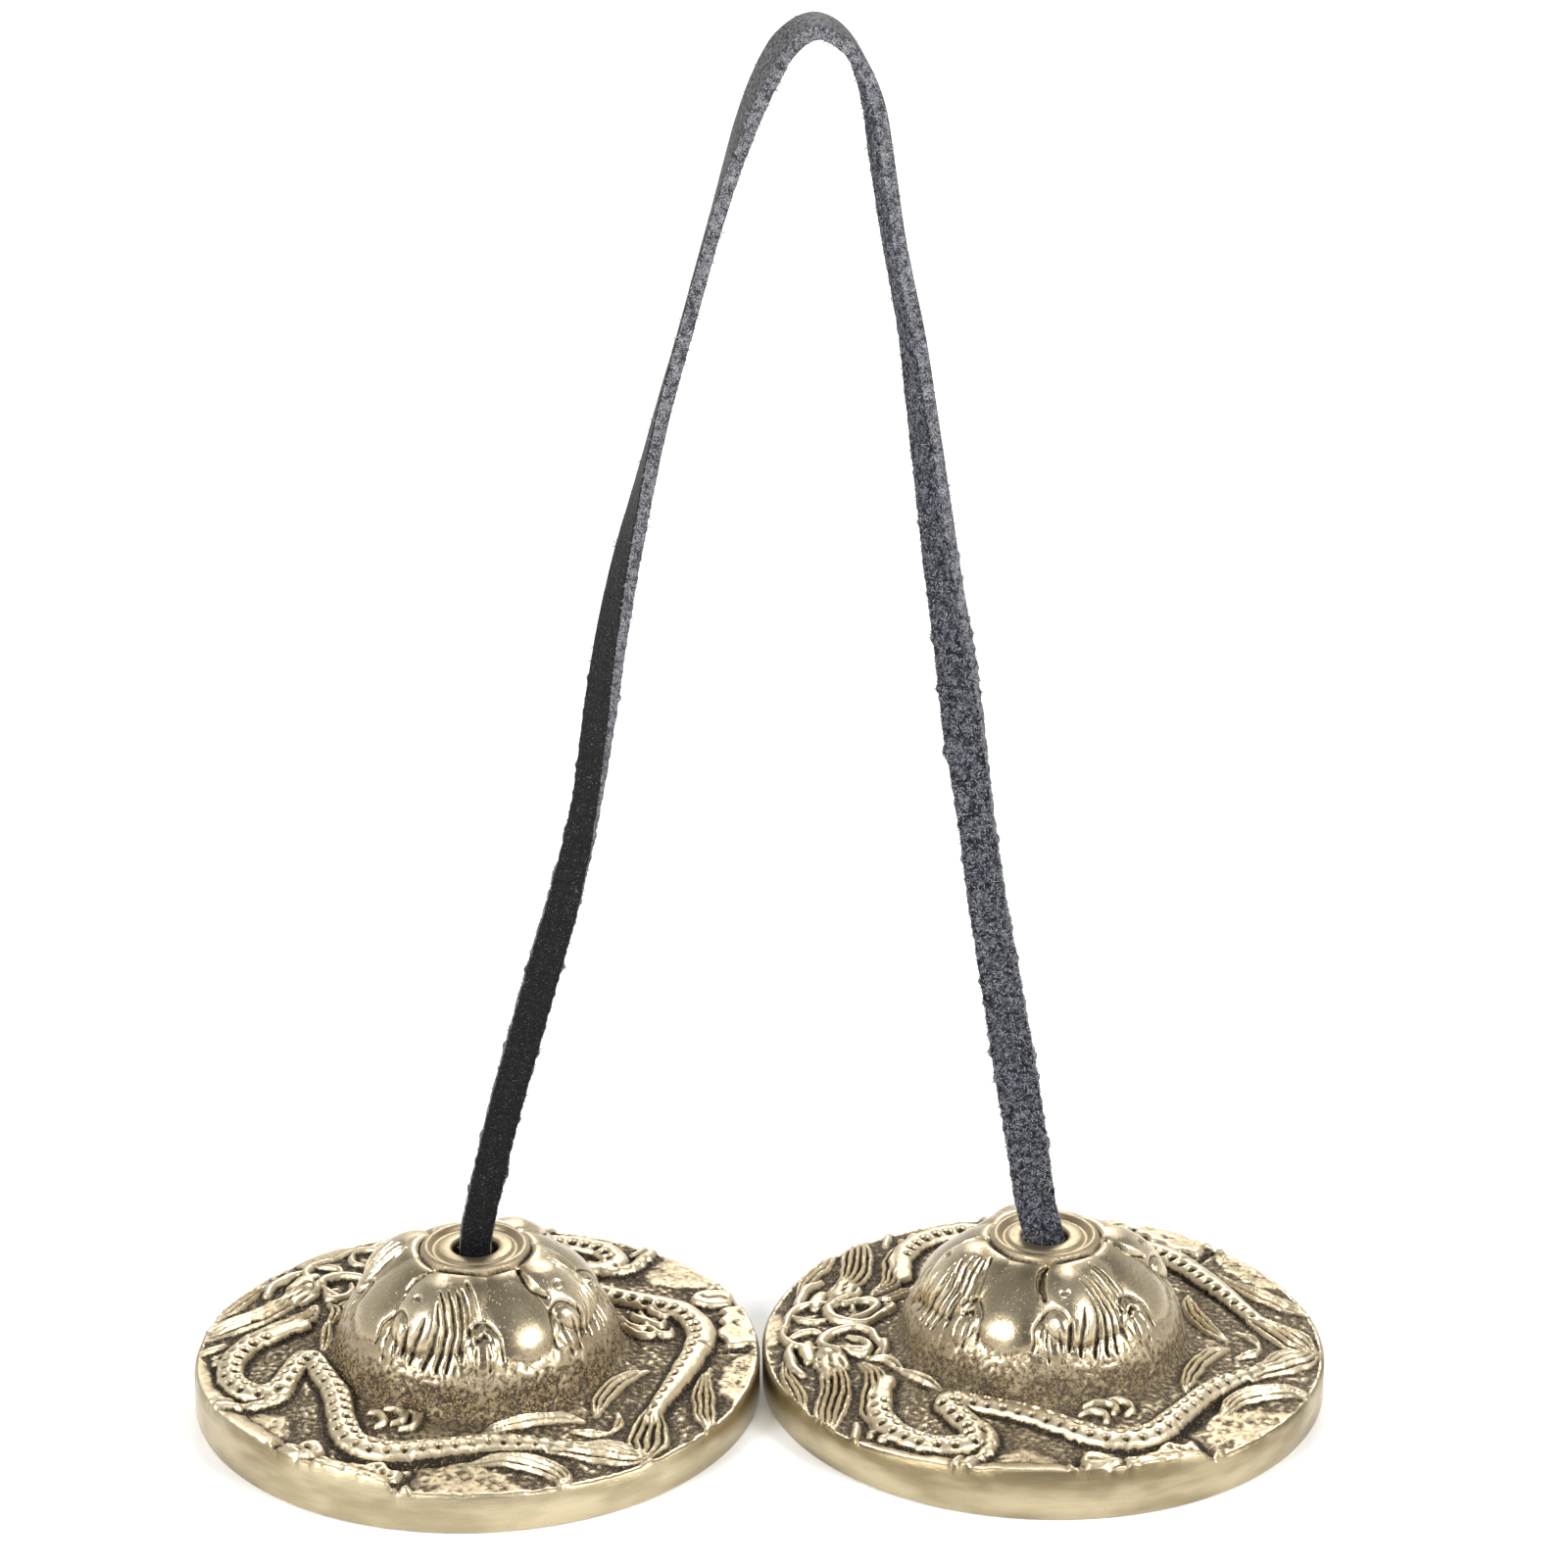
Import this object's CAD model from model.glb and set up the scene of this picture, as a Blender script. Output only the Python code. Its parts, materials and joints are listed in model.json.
# %% [markdown]
# # A pair of tingsha
# Two thick bronze cymbals, cast with dragons in relief, hang on one leather lace.  The
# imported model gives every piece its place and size.  This lesson dresses it: the lace gets
# its twist, its grain and its rough cut edges, and the castings get their carving and the
# dark patina that polishing has left in the hollows.  Lengths are written in millimetres
# and turned into metres at the last step.

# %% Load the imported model
import json
from math import cos, hypot, pi, radians, sin, sqrt, tau

import bpy
import numpy as np
from mathutils import Matrix, Vector, noise

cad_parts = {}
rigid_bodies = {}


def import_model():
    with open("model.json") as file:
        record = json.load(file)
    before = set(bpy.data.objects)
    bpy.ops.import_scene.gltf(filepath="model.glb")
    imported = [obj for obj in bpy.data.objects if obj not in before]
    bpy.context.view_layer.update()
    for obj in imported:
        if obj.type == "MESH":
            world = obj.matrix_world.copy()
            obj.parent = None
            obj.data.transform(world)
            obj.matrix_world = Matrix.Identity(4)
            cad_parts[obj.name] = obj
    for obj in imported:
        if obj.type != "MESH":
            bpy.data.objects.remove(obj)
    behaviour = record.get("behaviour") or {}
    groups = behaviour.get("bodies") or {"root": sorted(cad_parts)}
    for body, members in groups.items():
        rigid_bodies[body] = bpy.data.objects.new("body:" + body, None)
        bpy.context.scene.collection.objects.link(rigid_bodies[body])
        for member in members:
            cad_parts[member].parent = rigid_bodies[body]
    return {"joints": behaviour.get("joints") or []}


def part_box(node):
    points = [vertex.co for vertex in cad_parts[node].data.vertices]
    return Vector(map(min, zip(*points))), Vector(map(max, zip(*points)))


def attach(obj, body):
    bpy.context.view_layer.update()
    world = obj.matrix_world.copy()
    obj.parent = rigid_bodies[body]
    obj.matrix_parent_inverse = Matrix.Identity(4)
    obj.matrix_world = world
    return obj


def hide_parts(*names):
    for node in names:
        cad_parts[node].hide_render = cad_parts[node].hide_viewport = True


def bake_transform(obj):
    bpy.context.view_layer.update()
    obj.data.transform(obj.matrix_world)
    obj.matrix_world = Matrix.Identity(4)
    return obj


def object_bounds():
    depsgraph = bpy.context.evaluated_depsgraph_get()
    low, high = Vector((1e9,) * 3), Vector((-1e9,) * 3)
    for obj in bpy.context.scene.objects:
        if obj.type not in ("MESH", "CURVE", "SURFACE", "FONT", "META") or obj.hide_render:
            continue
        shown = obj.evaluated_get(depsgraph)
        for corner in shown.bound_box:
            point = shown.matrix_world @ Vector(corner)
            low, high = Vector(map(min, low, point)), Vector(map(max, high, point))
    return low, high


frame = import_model()
packed_low, packed_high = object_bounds()
MM = 0.001
left_low, left_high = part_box("left_cymbal")
right_low, right_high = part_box("right_cymbal")
RIM = (left_high.x - left_low.x) / 2 / MM
LEFT_X = (left_low.x + left_high.x) / 2 / MM
RIGHT_X = (right_low.x + right_high.x) / 2 / MM
HINGE = {joint["name"]: Vector(joint["pos_m"]) / MM for joint in frame["joints"]}
print(f"cymbals {2 * RIM:.1f} mm across, centres at x {LEFT_X:.2f} and {RIGHT_X:.2f} mm")

# %% [markdown]
# ## The camera
# The photograph was taken from in front and a little above with a long lens.  The lens,
# the distance and the direction were fitted to the outlines of the two rims.

# %% Camera
LENS = 101.25
SENSOR = 36.0
CAMERA_PLACE = Vector((-17.26, -452.75, 247.70)) * MM
CAMERA_DIRECTION = Vector((0.04105, 0.93318, -0.35705))

camera_data = bpy.data.cameras.new("camera")
camera_data.lens = LENS
camera_data.sensor_width = SENSOR
camera_data.clip_start = 10 * MM
camera = bpy.data.objects.new("camera", camera_data)
camera.location = CAMERA_PLACE
camera.rotation_euler = CAMERA_DIRECTION.to_track_quat("-Z", "Y").to_euler()
bpy.context.scene.collection.objects.link(camera)
bpy.context.scene.camera = camera

# %% [markdown]
# ## The lace's route
# The lace stands in an arch by its own stiffness.  Its centre line is drawn by hand in the
# plane of the arch, as shares of the half distance between the holes and of the arch's
# rise above the hinges at the holes.  A smooth curve runs through the drawn points.

# %% Route
ARCH_RISE = 139.0
ROUTE = [
    (-1.000, 0.000), (-0.965, 0.042), (-0.893, 0.113), (-0.812, 0.183), (-0.732, 0.250),
    (-0.650, 0.318), (-0.585, 0.386), (-0.541, 0.452), (-0.499, 0.516), (-0.446, 0.580),
    (-0.379, 0.645), (-0.313, 0.707), (-0.239, 0.768), (-0.168, 0.829), (-0.094, 0.889),
    (-0.037, 0.930), (0.022, 0.963), (0.091, 0.990), (0.187, 1.002), (0.290, 0.986),
    (0.361, 0.948), (0.395, 0.900), (0.436, 0.838), (0.496, 0.766), (0.533, 0.704),
    (0.570, 0.640), (0.608, 0.574), (0.653, 0.506), (0.688, 0.440), (0.729, 0.374),
    (0.769, 0.306), (0.820, 0.236), (0.871, 0.164), (0.924, 0.088), (0.970, 0.020), (0.996, 0.000),
]


def smooth_curve(points, step):
    """Points about a step apart on a smooth curve through the given points."""
    points = [np.array(p, float) for p in points]
    ends = [2 * points[0] - points[1]] + points + [2 * points[-1] - points[-2]]
    out = []
    for a, b, c, d in zip(ends, ends[1:], ends[2:], ends[3:]):
        spans = max(1, round(float(np.linalg.norm(c - b)) / step))
        for i in range(spans):
            t = i / spans
            out.append(0.5 * (2 * b + t * (c - a) + t * t * (2 * a - 5 * b + 4 * c - d)
                              + t ** 3 * (3 * b - a - 3 * c + d)))
    return np.array(out + [points[-1]])


def lengths_along(line):
    return np.concatenate([[0], np.cumsum(np.linalg.norm(np.diff(line, axis=0), axis=1))])


def even_curve(line, step):
    """The same curve in equal steps."""
    line = np.asarray(line, float)
    run = lengths_along(line)
    marks = np.linspace(0, run[-1], round(run[-1] / step) + 1)
    return np.stack([np.interp(marks, run, line[:, k]) for k in range(line.shape[1])], axis=1)


def rounded_off(line, rounds):
    """A line whose inner points are averaged with their neighbours, a few times."""
    line = line.copy()
    for _ in range(rounds):
        line[1:-1] = (line[:-2] + 2 * line[1:-1] + line[2:]) / 4
    return line


hinge_height = HINGE["left_tilt"].z
route = [(x * RIGHT_X, 0, hinge_height + z * ARCH_RISE) for x, z in ROUTE]
LACE_STEP = 0.5
arch = even_curve(smooth_curve(route, LACE_STEP / 2), LACE_STEP)
arch_run = lengths_along(arch)
LACE_LENGTH = arch_run[-1]
print(f"lace between the hinges at the holes: {LACE_LENGTH:.1f} mm in {len(arch)} steps")

# %% [markdown]
# ## The lace's twist
# A flat lace can only bend across its thin side, so it shows where it turns.  Below, the
# smooth grain side faces the front on the left and the rough flesh side on the right;
# over the crown the grain side is outside.  The turn of the grain side is written at shares
# of the length: 0 degrees is away from the arch, 90 is towards the front.

# %% Frames along the lace
LACE_THICKNESS = 1.5
TURN = [
    (0.000, 90), (0.140, 90), (0.185, 74), (0.220, 52), (0.260, 36), (0.295, 22),
    (0.325, 3), (0.370, -4), (0.425, -4), (0.450, 6), (0.485, 24), (0.505, 14),
    (0.525, -6), (0.545, -18), (0.565, -16), (0.587, -13), (0.623, -18), (0.659, -27),
    (0.682, -32), (0.706, -39), (0.731, -46), (0.755, -56), (0.779, -70), (0.828, -78),
    (0.876, -82), (1.000, -90),
]
TURN_EASE = 0.03
FRONT = np.array([0.0, -1.0, 0.0])


def unit(vectors):
    return vectors / np.linalg.norm(vectors, axis=-1, keepdims=True)


def tangents(line):
    return unit(np.gradient(line, axis=0))


def eased_turn(share):
    """The grain side's turn in degrees, eased over a short stretch of the lace."""
    spots = np.linspace(-TURN_EASE, TURN_EASE, 17)
    shares, turns = zip(*TURN)
    weights = 1 - np.abs(spots) / (TURN_EASE * 1.1)
    drawn = np.interp(share[:, None] + spots[None], shares, turns)
    return (drawn * weights).sum(axis=1) / weights.sum()


along = tangents(arch)
outward = np.stack([-along[:, 2], np.zeros(len(arch)), along[:, 0]], axis=1)
turn = np.radians(eased_turn(arch_run / LACE_LENGTH))[:, None]
grain_way = outward * np.cos(turn) + FRONT * np.sin(turn)
wide_way = unit(np.cross(grain_way, along))
print(f"grain side turns from {np.degrees(turn[0, 0]):.0f} to {np.degrees(turn[-1, 0]):.0f} degrees")

# %% [markdown]
# ## The cut strip
# The lace is a strip cut from one hide: smooth and a little crowned on the grain side, flat
# and hairy on the flesh side, with torn fibres along both cut edges.  It could be a curve
# with a bevel, but a curve has one section all along, so the strip is made as rings of
# points.  The rings carry the unevenness of the cut, and an attribute tells the material
# which side of the hide each point is on.

# %% Strip of leather
GRAIN_POINTS = 13
EDGE_POINTS = 6
CROWNING = 0.10
RING_STEP = 0.3
EDGE_TEAR = 0.15
FLESH_NAP = 0.11
GRAIN_CREASE = 0.030
# layers of unevenness: the size of its waves, the seed and the share of each
TEAR_LAYERS = ((0.9, 1, 1.0), (0.35, 2, 0.6))
NAP_LAYERS = ((0.7, 3, 1.0), (0.3, 4, 0.7))
LUMP_SIZE, LUMP_FLOOR, LUMP_HEIGHT = 1.3, 0.22, 5.0
SMOOTH_FOOT, SMOOTH_FADE = 2.0, 6.0


def strip_section():
    """Points round the section in half widths and half thicknesses, with their side.

    The side is 0 on the grain, 1 on a cut edge and 2 on the flesh side.
    """
    points = []
    for i in range(GRAIN_POINTS):
        points.append((-0.93 + 1.86 * i / (GRAIN_POINTS - 1), 1.0, 0))
    for i in range(EDGE_POINTS):
        points.append((1.0, 0.72 - 1.5 * i / (EDGE_POINTS - 1), 1))
    for i in range(GRAIN_POINTS):
        points.append((0.96 - 1.92 * i / (GRAIN_POINTS - 1), -1.0, 2))
    for i in range(EDGE_POINTS):
        points.append((-1.0, -0.78 + 1.5 * i / (EDGE_POINTS - 1), 1))
    return np.array(points)


SECTION = strip_section()


def roughness_at(points, size, seed):
    """A smooth uneven value from -1 to 1 for each point, about a size apart."""
    shift = Vector((seed * 17.3, seed * 7.7, seed * 3.1))
    return np.array([noise.noise(Vector(p) / size + shift) for p in points])


def layered(points, layers):
    return sum(share * roughness_at(points, size, seed) for size, seed, share in layers)


def skin(name, rings, sides):
    """A closed tube through rings of points, with each point's side as an attribute."""
    rings = np.asarray(rings)
    count, around = rings.shape[:2]
    verts = rings.reshape(-1, 3) * MM
    faces = []
    for i in range(count - 1):
        a, b = i * around, (i + 1) * around
        for k in range(around):
            n = (k + 1) % around
            faces.append((a + k, a + n, b + n, b + k))
    faces.append(tuple(range(around))[::-1])
    faces.append(tuple((count - 1) * around + k for k in range(around)))
    mesh = bpy.data.meshes.new(name)
    mesh.from_pydata(verts.tolist(), [], faces)
    side = mesh.attributes.new("side", "FLOAT", "POINT")
    side.data.foreach_set("value", np.asarray(sides, np.float32).ravel())
    obj = bpy.data.objects.new(name, mesh)
    bpy.context.scene.collection.objects.link(obj)
    return obj


def pick_only(*objects):
    """Select these objects alone, and make the first one active."""
    bpy.ops.object.select_all(action="DESELECT")
    for obj in objects:
        obj.select_set(True)
    bpy.context.view_layer.objects.active = objects[0]


def face_outwards(obj):
    pick_only(obj)
    bpy.ops.object.mode_set(mode="EDIT")
    bpy.ops.mesh.select_all(action="SELECT")
    bpy.ops.mesh.normals_make_consistent(inside=False)
    bpy.ops.object.mode_set(mode="OBJECT")


def strip_rings(line, wide, grain, width):
    """Rings of a strip about a line, torn at its edges and napped on its flesh side."""
    lift = SECTION[:, 1] + CROWNING * (SECTION[:, 2] == 0) * (1 - SECTION[:, 0] ** 2)
    rings = np.array([place + SECTION[:, :1] * half * w + lift[:, None] * (LACE_THICKNESS / 2) * g
                      for place, w, g, half in zip(line, wide, grain, width / 2)])
    flat = rings.reshape(-1, 3)
    side = np.tile(SECTION[:, 2], len(rings))
    middle = np.repeat(line, len(SECTION), axis=0)
    away = unit(flat - middle)
    lumps = np.clip(roughness_at(flat, LUMP_SIZE, 6) - LUMP_FLOOR, 0, 1) * LUMP_HEIGHT
    tear = layered(flat, TEAR_LAYERS)
    tear += lumps * np.clip((flat[:, 2] - hinge_height - SMOOTH_FOOT) / SMOOTH_FADE, 0, 1)
    nap = layered(flat, NAP_LAYERS)
    crease = roughness_at(flat * np.array([1, 1, 0.5]), 0.8, 5)
    push = np.select([side == 1, side == 2], [EDGE_TEAR * tear, FLESH_NAP * nap],
                     GRAIN_CREASE * crease)
    return (flat + away * push[:, None]).reshape(rings.shape)


def stretch_of_lace(low, high):
    """Centre line and frames of the lace between two runs from the left hinge."""
    runs = np.linspace(low, high, round(abs(high - low) / RING_STEP) + 1)

    def at(values):
        return np.stack([np.interp(runs, arch_run, values[:, k]) for k in range(3)], axis=1)

    line = at(arch)
    wide = unit(at(wide_way))
    ways = unit(at(along))
    return line, wide, unit(np.cross(ways, wide))


left_swing = HINGE["left_leg_swing"]
right_swing = HINGE["right_leg_swing"]


def run_near(place):
    return arch_run[np.linalg.norm(arch - np.array(place), axis=1).argmin()]


LEFT_SWING_RUN = run_near(left_swing)
RIGHT_SWING_RUN = run_near(right_swing)
print(f"the arch bends at {LEFT_SWING_RUN:.1f} and {RIGHT_SWING_RUN:.1f} mm along the lace")

# %% [markdown]
# ## Loose fibres
# Torn fibres stand out of the flesh side and of both cut edges, most of all along the right
# leg, and they break up the outline of the lace.  Hair particles would not survive an
# export, so each fibre is a thin three-sided spindle that belongs to the lace's own mesh.

# %% Fibres
FIBRE_THICKNESS = 0.065
FIBRE_REACH = 0.62
# where a fibre's rings lie, as a share of its length, and how thick they are
FIBRE_RINGS = ((-0.25, 1.0), (0.35, 0.9), (0.7, 0.7))
FIBRE_SIDE = 3.0
rng = np.random.default_rng(11)


def fibre_rings(root, way, lean, length, thickness):
    """Three rings and a tip of a fibre that leaves its root and leans over."""
    a = unit(np.cross(way, lean) + 1e-6)
    b = unit(np.cross(way, a))
    rings = []
    for t, w in FIBRE_RINGS:
        out = max(t, 0)
        middle = root + way * length * t * (1 - 0.45 * out) + lean * length * 0.9 * out ** 1.6
        rings.append([middle + (a * cos(k * tau / 3) + b * sin(k * tau / 3)) * thickness * w
                      for k in range(3)])
    tip = root + way * length * 0.55 + lean * length * 0.9
    return rings, tip


def add_fibres(obj, count_per_side):
    """Grow fibres on the points of a strip that lie on its flesh side and cut edges."""
    mesh = obj.data
    places = np.array([v.co[:] for v in mesh.vertices]) / MM
    normals = np.array([v.normal[:] for v in mesh.vertices])
    sides = np.array([d.value for d in mesh.attributes["side"].data])
    verts, faces = places.tolist(), [tuple(p.vertices) for p in mesh.polygons]
    marks = sides.tolist()
    for side, count in count_per_side.items():
        spots = np.flatnonzero(np.abs(sides - side) < 0.1)
        for i in rng.choice(spots, count, replace=count > len(spots)):
            swing = unit(rng.normal(size=3))
            lean = unit(swing - normals[i] * (swing @ normals[i]) + 1e-6)
            length = FIBRE_REACH * (0.45 + rng.random() ** 2)
            root = places[i] + rng.normal(size=3) * 0.05
            rings, tip = fibre_rings(root, normals[i] * (0.18 + 0.34 * rng.random()), lean, length,
                                     FIBRE_THICKNESS * (0.7 + 0.6 * rng.random()))
            first = len(verts)
            for ring in rings:
                verts += [p.tolist() for p in ring]
            verts.append(tip.tolist())
            faces.append((first + 2, first + 1, first))
            for r in (0, 3):
                for k in range(3):
                    n = (k + 1) % 3
                    low, high = first + r, first + r + 3
                    faces.append((low + k, low + n, high + n, high + k))
            for k in range(3):
                faces.append((first + 6 + k, first + 6 + (k + 1) % 3, first + 9))
            marks += [FIBRE_SIDE] * (len(verts) - first)
    fuzzy = bpy.data.meshes.new(obj.name)
    fuzzy.from_pydata((np.array(verts) * MM).tolist(), [], faces)
    side = fuzzy.attributes.new("side", "FLOAT", "POINT")
    side.data.foreach_set("value", np.array(marks, np.float32))
    obj.data = fuzzy
    bpy.data.meshes.remove(mesh)


# %% [markdown]
# ## Four stretches of lace
# The arch bends at two places, so the lace is made in four stretches that meet end to end
# in the middle of a leg or of the crown.  Each stretch bends across one joint: two across
# the crown's bends and two across the hinges at the holes, where they run on into the
# neck that passes through the bronze.

# %% Stretches
NECK_END = 16.4
NECK_SHIFT = 0.12
WIDTH_DRIFT = 0.16
DRIFT_WAVE = 9.0
WIDTHS = [
    (0, 3.6), (30, 3.8), (41, 3.75), (48, 3.35), (55, 3.1), (60, 3.3), (66, 3.7), (81, 4.0),
    (140, 4.15), (190, 4.25), (211, 4.4), (225, 4.55), (232, 4.3), (239, 4.0), (246, 4.15),
    (260, 4.5), (267, 4.8), (274, 4.7), (281, 4.55), (289, 4.4),
]


def lace_width(runs):
    """How wide the lace was cut, at runs in millimetres from the left hinge."""
    drift = np.array([noise.noise(Vector((run / DRIFT_WAVE, 4.2, 0))) for run in runs])
    return np.interp(runs, *zip(*WIDTHS)) + WIDTH_DRIFT * drift


def make_stretch(name, low, high, fibres, neck_x=None):
    """One stretch of lace, with a neck down into a hole where neck_x is given."""
    line, wide, grain = stretch_of_lace(low, high)
    runs = np.linspace(low, high, len(line))
    if neck_x is not None:
        steps = round((hinge_height - NECK_END) / RING_STEP)
        drops = np.linspace(0, hinge_height - NECK_END, steps + 1)[1:]
        end = 0 if low < 1 else -1
        neck = np.array([(neck_x, 0, hinge_height - d) for d in drops])
        neck_runs = runs[end] + (drops if end else -drops)
        order = slice(None, None, -1) if end == 0 else slice(None)
        joined = []
        for values, more in ((line, neck), (wide, np.repeat(wide[end:][:1], steps, axis=0)),
                             (runs, neck_runs)):
            parts = [more[order], values] if end == 0 else [values, more]
            joined.append(np.concatenate(parts))
        line, wide, runs = joined
        ways = tangents(line)
        line = even_blend(line)
        wide = unit(wide - ways * (wide * ways).sum(axis=1, keepdims=True))
        grain = unit(np.cross(ways, wide))
    rings = strip_rings(line, wide, grain, lace_width(runs))
    obj = skin(name, rings, np.tile(SECTION[:, 2], (len(rings), 1)))
    face_outwards(obj)
    add_fibres(obj, fibres)
    print(f"{name}: {len(rings)} rings, {sum(fibres.values())} fibres, "
          f"{lengths_along(line)[-1]:.1f} mm")
    return obj, line


def even_blend(line):
    """Round the corner where the leg meets its neck."""
    near = np.abs(line[:, 2:] - hinge_height) < 4
    return np.where(near, rounded_off(line, 12), line)


LEFT_CUT, CROWN_CUT, RIGHT_CUT = 65.0, 0.5 * (LEFT_SWING_RUN + RIGHT_SWING_RUN), 222.0
# each stretch's ends, its fibres on the cut edges (1) and the flesh side (2), and its neck
lace = {name: make_stretch(name, *how) for name, how in {
    "lace_left_foot": (0.0, LEFT_CUT, {1: 500, 2: 500}, LEFT_X),
    "lace_left_bend": (LEFT_CUT, CROWN_CUT, {1: 1600, 2: 500}),
    "lace_right_bend": (CROWN_CUT, RIGHT_CUT, {1: 1700, 2: 1500}),
    "lace_right_foot": (RIGHT_CUT, LACE_LENGTH, {1: 900, 2: 1700}, RIGHT_X - NECK_SHIFT),
}.items()}

# %% [markdown]
# ## The knots
# Inside each dome the lace is pulled into an overhand knot.  Pulled leather rolls up, so the
# flat strip narrows into a round strand under the roof, goes twice round through a ring
# and leaves as a short tail with a cut end.  The strand shows the seam where its edges met.

# %% Knots
STRAND = 2.3
KNOT_GAP = 0.45
KNOT_PITCH = STRAND + KNOT_GAP
KNOT_WEAVE = 0.555 * KNOT_PITCH
KNOT_RADIUS = KNOT_WEAVE + 0.64 * KNOT_PITCH
ROOF_GAP = 0.5
MOUTH_RADIUS = 14.0
HOLLOW_HEIGHT = 14.9
BORE_RADIUS = 3.1
TAIL_CLEARANCE = 5.0
FLAT_RUN = 1.2
ROLLING_RUN = 1.6 * STRAND
FLAT_HALF = 2.0
SEAM_ANGLE, SEAM_WIDTH, SEAM_DEPTH = -1.1, 0.16, 0.22


def roof_height(radius):
    return HOLLOW_HEIGHT * sqrt(max(0.0, 1 - (radius / MOUTH_RADIUS) ** 2))


def knot_line():
    """Centre line from the hinge through the hole and round the overhand knot."""
    middle = roof_height(BORE_RADIUS) - ROOF_GAP - STRAND / 2 - KNOT_WEAVE
    bore = KNOT_RADIUS - KNOT_WEAVE

    def strand(phase, inwards=0, onwards=0, height=0):
        angle = phase / 1.5
        radius = KNOT_RADIUS + KNOT_WEAVE * cos(phase) - inwards * bore
        return (radius * cos(angle) - onwards * bore * sin(angle),
                radius * sin(angle) + onwards * bore * cos(angle),
                middle + KNOT_WEAVE * sin(phase) + height * KNOT_WEAVE)

    points = [(0, 0, hinge_height), (0, 0, hinge_height - 1.6),
              strand(pi, 0.62, -0.30, 2.2), strand(pi, 0.10, -0.62, 1.03)]
    points += [strand(pi + 4 * pi * i / 24) for i in range(25)]
    points += [strand(5 * pi, -0.05, 0.62, -1.07), strand(5 * pi, -0.10, 0.85, -2.3)]
    tail = strand(5 * pi, -0.15, 0.95)
    return points + [(tail[0], tail[1], TAIL_CLEARANCE)]


def make_knot(name, x, turn, wide_start):
    heading = np.array(Matrix.Rotation(turn, 3, "Z"))
    line = even_curve(smooth_curve(knot_line(), 0.2), RING_STEP) @ heading.T
    keep = np.flatnonzero(line[:, 2] <= NECK_END + 0.02)[0]
    line = np.concatenate([[[0, 0, NECK_END]], line[keep:]])
    ways = tangents(line)
    run = lengths_along(line)
    roll = np.clip((run - FLAT_RUN) / ROLLING_RUN, 0, 1)
    roll = roll * roll * (3 - 2 * roll)
    flat_w = SECTION[:, 0] * FLAT_HALF
    flat_t = SECTION[:, 1] * LACE_THICKNESS / 2
    spin = np.arctan2(SECTION[:, 1], SECTION[:, 0])
    ring = STRAND / 2 * (1 - SEAM_DEPTH * np.exp(-((spin - SEAM_ANGLE) / SEAM_WIDTH) ** 2))
    wide = np.array(wide_start, float)
    rings = []
    for place, way, rolled in zip(line, ways, roll):
        wide = unit(wide - way * (wide @ way))
        thick = np.cross(way, wide)
        across = flat_w + rolled * (ring * np.cos(spin) - flat_w)
        up = flat_t + rolled * (ring * np.sin(spin) - flat_t)
        rings.append(place + across[:, None] * wide + up[:, None] * thick)
    rings = np.array(rings)
    flat = rings.reshape(-1, 3)
    middle = np.repeat(line, len(SECTION), axis=0)
    rough = 0.03 * roughness_at(flat, 0.8, 6)
    rings = (flat + unit(flat - middle) * rough[:, None]).reshape(rings.shape)
    rings[..., 0] += x
    outside = np.where(SECTION[:, 2] == 2, 0, SECTION[:, 2])
    obj = skin(name, rings, np.tile(outside, (len(rings), 1)))
    face_outwards(obj)
    print(f"{name}: {len(rings)} rings, {run[-1]:.1f} mm of strand")
    return obj


left_knot = make_knot("left_lace_knot", LEFT_X, pi, wide_way[0])
right_knot = make_knot("right_lace_knot", RIGHT_X, 0.0, wide_way[-1])

# %% [markdown]
# ## The bare casting
# A cymbal is a thick flange with a hollow dome, turned about one axis.  Its section is one
# closed outline, so a ring of vertices is laid on that outline and turned once round.  The
# Spin operator could do it, but nine hundred steps take it a minute, and the Screw modifier
# a moment.  The turning is fine enough to carve: the carving moves these vertices later.

# %% Section and turning
RIM_HEIGHT = 4.6
RIM_CHAMFER = 0.3
FLANGE_RISE = 1.0
DOME_RADIUS = 16.5
DOME_HEIGHT = 12.3
DOME_FOOT = RIM_HEIGHT + FLANGE_RISE
COLLAR_TOP = (left_high.z - left_low.z) / MM + 0.45
COLLAR_RADIUS = 6.35
COLLAR_INNER = 5.15
GROOVE_INNER = 4.4
GROOVE_FLOOR = COLLAR_TOP - 0.65
DISC_TOP = COLLAR_TOP - 0.25
HOLE_RADIUS = 2.65
SHOULDER = 1.0
SHOULDER_REACH = 5.5
FOOT_REACH = 3.4
FOOT_ROUNDS = 45
SPIN_STEPS = 900
ROW = 0.17


def flange_height(radius):
    return RIM_HEIGHT + FLANGE_RISE * (RIM - radius) / (RIM - DOME_RADIUS)


def eased(share):
    share = min(max(share, 0.0), 1.0)
    return share * share * (3 - 2 * share)


def carved_section():
    """The outline that gets carved, from the rim's edge over the flange and the dome."""
    flange = [(r, flange_height(r)) for r in np.linspace(RIM - RIM_CHAMFER, DOME_RADIUS, 60)]
    dome = [(DOME_RADIUS * cos(t), DOME_FOOT + DOME_HEIGHT * sin(t))
            for t in np.linspace(0, np.arccos(COLLAR_RADIUS / DOME_RADIUS), 80)]
    dome = [(r, z + SHOULDER * (1 - eased((r - COLLAR_RADIUS) / SHOULDER_REACH))) for r, z in dome]
    line = even_curve(flange + dome[1:], ROW)
    foot = np.hypot(line[:, 0] - DOME_RADIUS, line[:, 1] - DOME_FOOT)
    share = np.clip(2 * (1 - foot / FOOT_REACH), 0, 1)[:, None]
    return line + (rounded_off(line, FOOT_ROUNDS) - line) * share


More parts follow.
